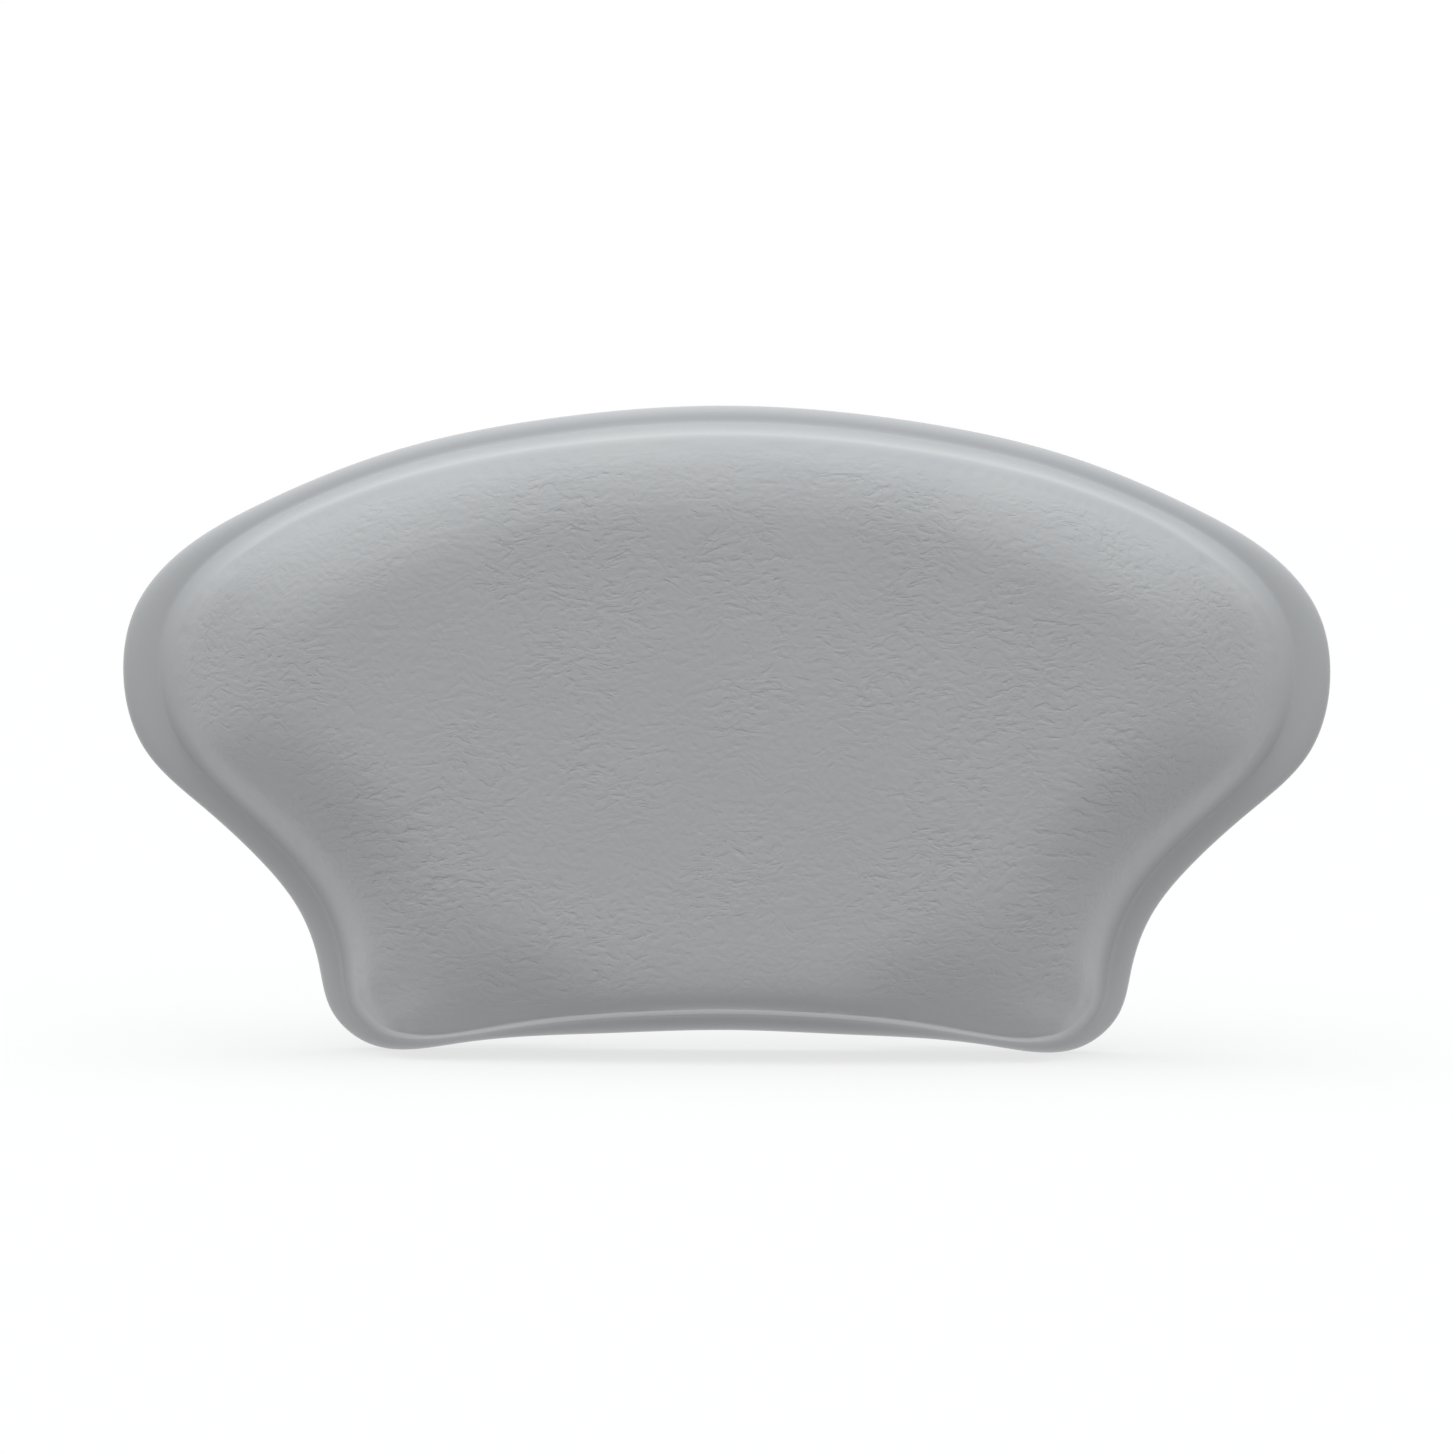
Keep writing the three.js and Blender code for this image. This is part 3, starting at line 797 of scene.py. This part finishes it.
def cup_piece(name, centre, radius):
    """Suction cup: a mushroom head, a neck, a bell with a hollow and a flat sealing rim, and a release
    tab with ribs."""
    head_back = SOCKET_LIP + CLEARANCE
    head_front = head_back + CUP_HEAD_HEIGHT
    shoulder = -CLEARANCE
    ceiling = shoulder - CUP_WALL
    rim = radius - CUP_RIM_WIDTH
    hollow_bend = (HOLLOW_BEND[0] * rim, ceiling - HOLLOW_BEND[1] * CUP_STAND)
    hollow = bend((0, ceiling), hollow_bend, (rim, -CUP_STAND))
    bell_bend = (BELL_BEND[0] * radius, shoulder - BELL_BEND[1] * CUP_STAND)
    bell = bend((radius, CUP_RIM_THICKNESS - CUP_STAND), bell_bend, (CUP_SHOULDER_RADIUS, shoulder))
    gate = [
        (0, ceiling - GATE_HEIGHT),
        (GATE_RADIUS, ceiling - GATE_HEIGHT),
        (GATE_FOOT_RADIUS, ceiling - GATE_FOOT_HEIGHT),
    ]
    front = [
        (CUP_NECK_RADIUS, shoulder),
        (CUP_NECK_RADIUS, head_back),
        (CUP_HEAD_RADIUS, head_back),
        (CUP_HEAD_RADIUS, head_front - CUP_HEAD_CHAMFER),
        (CUP_HEAD_RADIUS - CUP_HEAD_CHAMFER, head_front),
        (0, head_front),
    ]
    profile = gate + hollow[2:] + [(radius, -CUP_STAND)] + bell + front
    shape = Shape()
    shape.turned(rounded(profile, CUP_ROUNDING), centre)
    add_tab(shape, centre, radius)
    return shape.finished(name, sharp_degrees=60)


def tab_ring(centre, radius, inset):
    """Outline of the release tab, drawn in by a distance."""
    start = radius - CUP_RIM_WIDTH / 2
    end = radius + TAB_REACH - TAB_WIDTH / 2
    half = TAB_WIDTH / 2 - inset
    angle = np.linspace(np.pi, 2 * np.pi, TAB_TIP_POINTS)
    tip = np.column_stack([np.cos(angle) * half, np.sin(angle) * half - end])
    return centre + np.vstack([[[half, -start], [-half, -start]], tip])


def add_tab(shape, centre, radius):
    """Release tab at the lower side of a cup's rim."""
    back = TAB_SETBACK - CUP_STAND
    front = back + TAB_THICKNESS
    insets, heights = zip(*bevelled(back, front, TAB_BEVEL))
    rings = [tab_ring(centre, radius, inset) for inset in insets]
    shape.loft(zip(rings, heights))
    shape.flat(rings[0], back, False)
    shape.flat(rings[-1], front, True)
    for beyond, half_length in TAB_RIBS:
        add_rib(shape, centre, radius + beyond, half_length, back)


def add_rib(shape, centre, middle, half_length, back):
    """Low grip rib across the back of the release tab."""
    turn = np.linspace(0, 2 * np.pi, RIB_SIDES, endpoint=False)
    rings = []
    for size, rise in RIB_LEVELS:
        across = np.cos(turn) * half_length * (1 - RIB_TAPER * (1 - size))
        along = np.sin(turn) * RIB_HALF_WIDTH * size - middle
        rings.append((centre + np.column_stack([across, along]), back + rise))
    shape.flat(*rings[0], False)
    shape.loft(rings)
    shape.flat(*rings[-1], True)


def socket_piece(name, centre):
    """Moulded socket: a blind barrel with a lip round its bore, and a flange that rests on the plate."""
    bore = CUP_NECK_RADIUS + CLEARANCE
    chamber = CUP_HEAD_RADIUS + CLEARANCE
    flange_back = PLATE_FRONT + CLEARANCE
    flange_front = flange_back + SOCKET_FLANGE_THICKNESS
    profile = [
        (0, CHAMBER_FRONT),
        (chamber, CHAMBER_FRONT),
        (chamber, SOCKET_LIP),
        (bore, SOCKET_LIP),
        (bore, 0),
        (BARREL_RADIUS, 0),
        (BARREL_RADIUS, flange_back),
        (SOCKET_FLANGE_RADIUS, flange_back),
        (SOCKET_FLANGE_RADIUS, flange_front),
        (BARREL_RADIUS, flange_front),
        (BARREL_RADIUS, SOCKET_FRONT - SOCKET_CHAMFER),
        (BARREL_RADIUS - SOCKET_CHAMFER, SOCKET_FRONT),
        (0, SOCKET_FRONT),
    ]
    shape = Shape()
    shape.turned(rounded(profile, SOCKET_ROUNDING), centre)
    return shape.finished(name, sharp_degrees=60)


class Nodes:
    """A small helper that adds nodes to a material or world and joins them."""

    def __init__(self, owner):
        owner.use_nodes = True
        self.tree = owner.node_tree
        self.tree.nodes.clear()

    def add(self, kind, settings=None, **inputs):
        """Adds a node with the given settings, and a value or a link for each named input."""
        node = self.tree.nodes.new("ShaderNode" + kind)
        for name, value in (settings or {}).items():
            setattr(node, name, value)
        for name, value in inputs.items():
            self.join(value, node.inputs[name.replace("_", " ")])
        return node

    def join(self, value, socket):
        if isinstance(value, bpy.types.NodeSocket):
            self.tree.links.new(value, socket)
        else:
            socket.default_value = value

    def math(self, operation, first, second=0.0, clamp=False):
        node = self.add("Math", {"operation": operation, "use_clamp": clamp})
        self.join(first, node.inputs[0])
        self.join(second, node.inputs[1])
        return node.outputs[0]

    def scaled(self, vector, scale):
        return self.add("Mapping", Vector=vector, Scale=scale).outputs[0]

    def attribute(self, name):
        return self.add("Attribute", {"attribute_name": name})

    def noise(self, vector, scale, detail=2.0, roughness=0.5, distortion=0.0):
        node = self.add(
            "TexNoise", Vector=vector, Scale=scale, Detail=detail,
            Roughness=roughness, Distortion=distortion,
        )
        return node.outputs["Fac"]

    def warped(self, vector, scale, reach):
        """A place pushed about by a slow noise."""
        wander = self.add("TexNoise", Vector=vector, Scale=scale, Detail=1.0)
        push = self.add("VectorMath", {"operation": "SCALE"})
        self.join(wander.outputs["Color"], push.inputs[0])
        push.inputs["Scale"].default_value = reach
        total = self.add("VectorMath", {"operation": "ADD"})
        self.join(vector, total.inputs[0])
        self.join(push.outputs[0], total.inputs[1])
        return total.outputs[0]

    def cells(self, vector, scale, smoothness):
        """Distance to the middle of the nearest cell, smooth where cells meet."""
        node = self.add(
            "TexVoronoi", {"feature": "SMOOTH_F1"}, Vector=vector, Scale=scale, Smoothness=smoothness,
        )
        return node.outputs["Distance"]

    def ramp(self, value, stops):
        """Value through a ramp with stops of position and grey level."""
        node = self.add("ValToRGB", Fac=value)
        ramp = node.color_ramp
        ramp.interpolation = "EASE"
        while len(ramp.elements) < len(stops):
            ramp.elements.new(0.5)
        for element, (position, level) in zip(ramp.elements, stops):
            element.position = position
            element.color = (level, level, level, 1)
        return node.outputs["Color"]

    def tint(self, factor, low, high):
        """Colour between two, by a factor from 0 to 1."""
        node = self.add("Mix", {"data_type": "RGBA"})
        self.join(factor, node.inputs["Factor"])
        node.inputs[6].default_value = (*low, 1)
        node.inputs[7].default_value = (*high, 1)
        return node.outputs[2]

    def between(self, value, low, high):
        """Value from 0 to 1 spread over a range."""
        return self.math("ADD", self.math("MULTIPLY", value, high - low), low)

    def bump(self, height, distance, strength=1.0, normal=None):
        node = self.add("Bump", Height=height, Distance=distance, Strength=strength)
        if normal is not None:
            self.join(normal, node.inputs["Normal"])
        return node.outputs["Normal"]

    def mixed(self, share, first, second):
        """Two shaders mixed, by the share of the second."""
        node = self.add("MixShader")
        self.join(share, node.inputs[0])
        self.join(first.outputs[0], node.inputs[1])
        self.join(second.outputs[0], node.inputs[2])
        return node

    def output(self, kind, shader):
        self.join(shader.outputs[0], self.add(kind).inputs["Surface"])

    def surface(self, **inputs):
        self.output("OutputMaterial", self.add("BsdfPrincipled", **inputs))


def new_material(name):
    """A material, its nodes, and the place on the piece."""
    material = bpy.data.materials.new(name)
    nodes = Nodes(material)
    return material, nodes, nodes.add("TexCoord").outputs["Object"]


def skin_material():
    """Soft leather-grain vinyl: pebbles and wrinkles all over the cushion, ripples inside its top, leaning
    folds inside its flanks, and a smoother flange."""
    material, nodes, place = new_material("leather_grain_vinyl")
    around = nodes.attribute("around").outputs["Vector"]
    leaning = nodes.attribute("leaning").outputs["Vector"]
    folds = nodes.attribute("folds").outputs["Fac"]
    ripples = nodes.attribute("ripples").outputs["Fac"]
    grain = nodes.attribute("grain").outputs["Fac"]
    warped = nodes.warped(place, scale=90.0, reach=0.006)
    pebbles = nodes.cells(warped, 640.0, smoothness=0.6)
    patches = nodes.ramp(nodes.noise(place, 38.0, detail=1.0), [(0.35, 0.35), (0.65, 1.0)])
    wrinkles = nodes.scaled(warped, (0.75, 1.0, 1.5))
    wrinkles = nodes.noise(wrinkles, 430.0, detail=3.0, roughness=0.55, distortion=0.35)
    wrinkles = nodes.ramp(wrinkles, [(0.3, 0.0), (0.48, 0.75), (0.62, 1.0)])
    wrinkles = nodes.math("MULTIPLY", nodes.math("MULTIPLY", wrinkles, grain), patches)
    ripple_lines = nodes.noise(nodes.scaled(around, (0.2, 0.2, 1.0)), 520.0, distortion=0.4)
    fold_lines = nodes.noise(nodes.scaled(leaning, (1.0, 1.0, 0.24)), 640.0, distortion=0.3)
    fold_lines = nodes.ramp(fold_lines, [(0.34, 0.0), (0.5, 0.8), (0.66, 1.0)])
    normal = nodes.bump(nodes.noise(place, 2600.0), FINE_DEPTH, strength=0.5)
    normal = nodes.bump(nodes.math("MULTIPLY", pebbles, grain), PEBBLE_DEPTH, normal=normal)
    normal = nodes.bump(wrinkles, WRINKLE_DEPTH, normal=normal)
    normal = nodes.bump(nodes.math("MULTIPLY", ripple_lines, ripples), RIPPLE_DEPTH, normal=normal)
    normal = nodes.bump(nodes.math("MULTIPLY", fold_lines, folds), FOLD_DEPTH, normal=normal)
    base = nodes.tint(nodes.noise(place, 26.0), (0.340, 0.350, 0.362), (0.362, 0.370, 0.378))
    rough = nodes.between(nodes.noise(place, 700.0), 0.46, 0.58)
    nodes.surface(
        Base_Color=base, Roughness=rough, Normal=normal, IOR=1.45, Coat_Weight=0.5, Coat_Roughness=0.25,
    )
    return material


def foam_material(name, low, high, cell_scale, depth):
    """Foam with fine cells."""
    material, nodes, place = new_material(name)
    cells = nodes.cells(place, cell_scale, smoothness=0.3)
    base = nodes.tint(nodes.noise(place, 60.0, detail=3.0), low, high)
    rough = nodes.between(cells, 0.85, 0.98)
    nodes.surface(Base_Color=base, Roughness=rough, Normal=nodes.bump(cells, depth))
    return material


def plastic_material(name, low, high, roughness):
    """Moulded plastic with a faint mould texture."""
    material, nodes, place = new_material(name)
    normal = nodes.bump(nodes.noise(place, 1500.0, detail=3.0), FINE_DEPTH)
    base = nodes.tint(nodes.noise(place, 45.0), low, high)
    rough = nodes.between(nodes.noise(place, 400.0), roughness - 0.05, roughness + 0.08)
    nodes.surface(Base_Color=base, Roughness=rough, Normal=normal)
    return material


def cup_material():
    """Soft clear vinyl, a little cloudy."""
    material, nodes, place = new_material("clear_vinyl")
    normal = nodes.bump(nodes.noise(place, 500.0), CUP_GRAIN_DEPTH)
    base = nodes.tint(nodes.noise(place, 80.0), (0.70, 0.75, 0.76), (0.78, 0.82, 0.83))
    rough = nodes.between(nodes.noise(place, 300.0), 0.14, 0.22)
    nodes.surface(Base_Color=base, Roughness=rough, Normal=normal, IOR=1.45, Transmission_Weight=0.2)
    return material


def seen_directly(nodes):
    """1 for rays from the camera and those that gloss or clear matter sends on, otherwise 0."""
    path = nodes.add("LightPath")
    seen = nodes.math("ADD", path.outputs["Is Camera Ray"], path.outputs["Is Glossy Ray"])
    return nodes.math("ADD", seen, path.outputs["Is Transmission Ray"], True)


# Light: direction and strength of each soft lamp
SOFT_LAMPS = [
    ((0, 0, 1), 3.1),
    ((0, -1, 1), 1.0),
    ((-1, 0, 1), 0.4),
    ((-1, 0, 0.15), 0.2),
    ((1, -1, 0.3), 0.35),
]
LAMP_TIGHTNESS = 4
LAMP_COLOR = (0.985, 0.995, 1.0, 1.0)
WHITE = (1, 1, 1, 1)

# Floor: the light that it sends up in front of the pillow and behind it, and its look where it is seen
FLOOR_HALF_SIZE = 6.0
FLOOR_GLOW_FRONT = 0.5
FLOOR_GLOW_BEHIND = 1.0
FLOOR_GLOW_START = -1.4 * THICKNESS
FLOOR_GLOW_END = 0.4 * THICKNESS
FLOOR_SHOWN_LOW = (0.61, 0.61, 0.61)
FLOOR_SHOWN_HIGH = (0.63, 0.63, 0.63)
FLOOR_WHITE_SHARE = 0.7


def white_floor():
    """Pale floor. Where it is seen it is nearly white and keeps a soft shadow."""
    size = FLOOR_HALF_SIZE
    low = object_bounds()[0].z
    shape = Shape()
    shape.add(np.array([(-size, -size, low), (size, -size, low), (size, size, low), (-size, size, low)]))
    shape.faces.append([0, 1, 2, 3])
    floor = shape.finished("floor")
    material, nodes, place = new_material("white_floor")
    depth = nodes.add("SeparateXYZ", Vector=place).outputs["Y"]
    behind = nodes.add(
        "MapRange", {"interpolation_type": "SMOOTHSTEP"}, Value=depth,
        From_Min=FLOOR_GLOW_START, From_Max=FLOOR_GLOW_END,
        To_Min=FLOOR_GLOW_FRONT, To_Max=FLOOR_GLOW_BEHIND,
    )
    fill = nodes.add("Emission", Color=WHITE, Strength=behind.outputs["Result"])
    grey = nodes.tint(nodes.noise(place, 300.0), FLOOR_SHOWN_LOW, FLOOR_SHOWN_HIGH)
    shown = nodes.add("BsdfDiffuse", Color=grey)
    glow = nodes.add("Emission", Color=WHITE, Strength=1.0)
    pale = nodes.mixed(FLOOR_WHITE_SHARE, shown, glow)
    nodes.output("OutputMaterial", nodes.mixed(seen_directly(nodes), fill, pale))
    floor.data.materials.append(material)
    floor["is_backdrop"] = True


def lamp_glow(nodes, ray, direction, strength):
    """Light of a wide soft lamp, strongest for rays that run straight towards it."""
    towards = nodes.add("VectorMath", {"operation": "DOT_PRODUCT"})
    nodes.join(ray, towards.inputs[0])
    towards.inputs[1].default_value = Vector(direction).normalized()
    away = nodes.math("SUBTRACT", towards.outputs["Value"], 1.0)
    fall = nodes.math("EXPONENT", nodes.math("MULTIPLY", away, LAMP_TIGHTNESS))
    return nodes.math("MULTIPLY", fall, strength)


def studio_world():
    """Wide soft lamps above, in front and beside, on a white background."""
    world = bpy.data.worlds.new("studio")
    bpy.context.scene.world = world
    nodes = Nodes(world)
    ray = nodes.add("TexCoord").outputs["Generated"]
    light = 0.0
    for direction, strength in SOFT_LAMPS:
        light = nodes.math("ADD", lamp_glow(nodes, ray, direction, strength), light)
    soft = nodes.add("Background", Color=LAMP_COLOR, Strength=light)
    white = nodes.add("Background", Color=WHITE, Strength=1.0)
    nodes.output("OutputWorld", nodes.mixed(seen_directly(nodes), soft, white))


# The photograph's view: straight on, slightly from above, with the pillow's left end a little lower
IMAGE_SIDE_PX = 1453
PILLOW_WIDTH_PX = 1210
VIEW_MIDDLE_HEIGHT = 0.5 * MM
CAMERA_DISTANCE = 1.7
CAMERA_ELEVATION = math.radians(3)
CAMERA_ROLL = math.radians(0.28)
SENSOR_WIDTH_MM = 36
CLIP_START = 0.01
CLIP_END = 50


def photo_camera():
    """Camera that frames the pillow as the photograph does."""
    data = bpy.data.cameras.new("photo_camera")
    camera = bpy.data.objects.new("photo_camera", data)
    bpy.context.scene.collection.objects.link(camera)
    bpy.context.scene.camera = camera
    centre = Vector((0, -FLANGE_THICKNESS, VIEW_MIDDLE_HEIGHT))
    view_width = 2 * HALF_WIDTH * IMAGE_SIDE_PX / PILLOW_WIDTH_PX
    data.sensor_width = SENSOR_WIDTH_MM
    data.lens = data.sensor_width * CAMERA_DISTANCE / view_width
    back = Vector((0, -math.cos(CAMERA_ELEVATION), math.sin(CAMERA_ELEVATION)))
    camera.location = centre + back * CAMERA_DISTANCE
    camera.rotation_mode = "QUATERNION"
    turn = (-back).to_track_quat("-Z", "Y")
    camera.rotation_quaternion = turn @ Quaternion((0, 0, 1), CAMERA_ROLL)
    data.clip_start = CLIP_START
    data.clip_end = CLIP_END


def place_piece(piece, node, body, material):
    """Gives a piece its material and its body, and hides the CAD node that it stands for."""
    piece.data.materials.append(material)
    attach(piece, body)
    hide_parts(node)


def make_pieces():
    """The skin, the foams, the sheet and plate, and the sockets and cups."""
    skin = skin_surface()
    thick = skin.modifiers.new("thickness", "SOLIDIFY")
    thick.thickness = SKIN_THICKNESS
    thick.offset = -1
    place_piece(skin, "cushion_skin", "pillow", skin_material())
    core_foam = foam_material(
        "open_cell_foam", (0.66, 0.64, 0.57), (0.72, 0.70, 0.63), cell_scale=900.0, depth=0.25 * MM,
    )
    pad_foam = foam_material(
        "closed_cell_foam", (0.245, 0.255, 0.265), (0.275, 0.285, 0.295),
        cell_scale=1600.0, depth=0.08 * MM,
    )
    sheet_foam = foam_material(
        "foam_sheet", (0.185, 0.19, 0.196), (0.212, 0.217, 0.223), cell_scale=2200.0, depth=0.05 * MM,
    )
    place_piece(foam_core_piece(), "foam_core", "pillow", core_foam)
    place_piece(base_pad_piece(), "base_pad", "pillow", pad_foam)
    sheet = drilled_piece("back_sheet_foam", LIP_REACH + CLEARANCE, 0, SHEET_THICKNESS)
    place_piece(sheet, "back_sheet", "pillow", sheet_foam)
    plate = drilled_piece("stiffener_plate_moulded", PLATE_INSET, PAD_BACK, PLATE_FRONT)
    polypropylene = plastic_material("polypropylene", (0.56, 0.58, 0.59), (0.60, 0.62, 0.63), 0.5)
    place_piece(plate, "stiffener_plate", "pillow", polypropylene)
    nylon = plastic_material("nylon", (0.46, 0.48, 0.49), (0.50, 0.52, 0.53), 0.45)
    vinyl = cup_material()
    for name, centre in cup_centres().items():
        socket = socket_piece("cup_socket_" + name + "_moulded", centre)
        place_piece(socket, "cup_socket_" + name, "pillow", nylon)
        node = "suction_cup_" + name
        low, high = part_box(node)
        cup = cup_piece(node + "_vinyl", centre, (high.x - low.x) / 2)
        place_piece(cup, node, "cup_" + name, vinyl)


bpy.context.scene.view_settings.view_transform = "Standard"
make_pieces()
studio_world()
white_floor()
photo_camera()
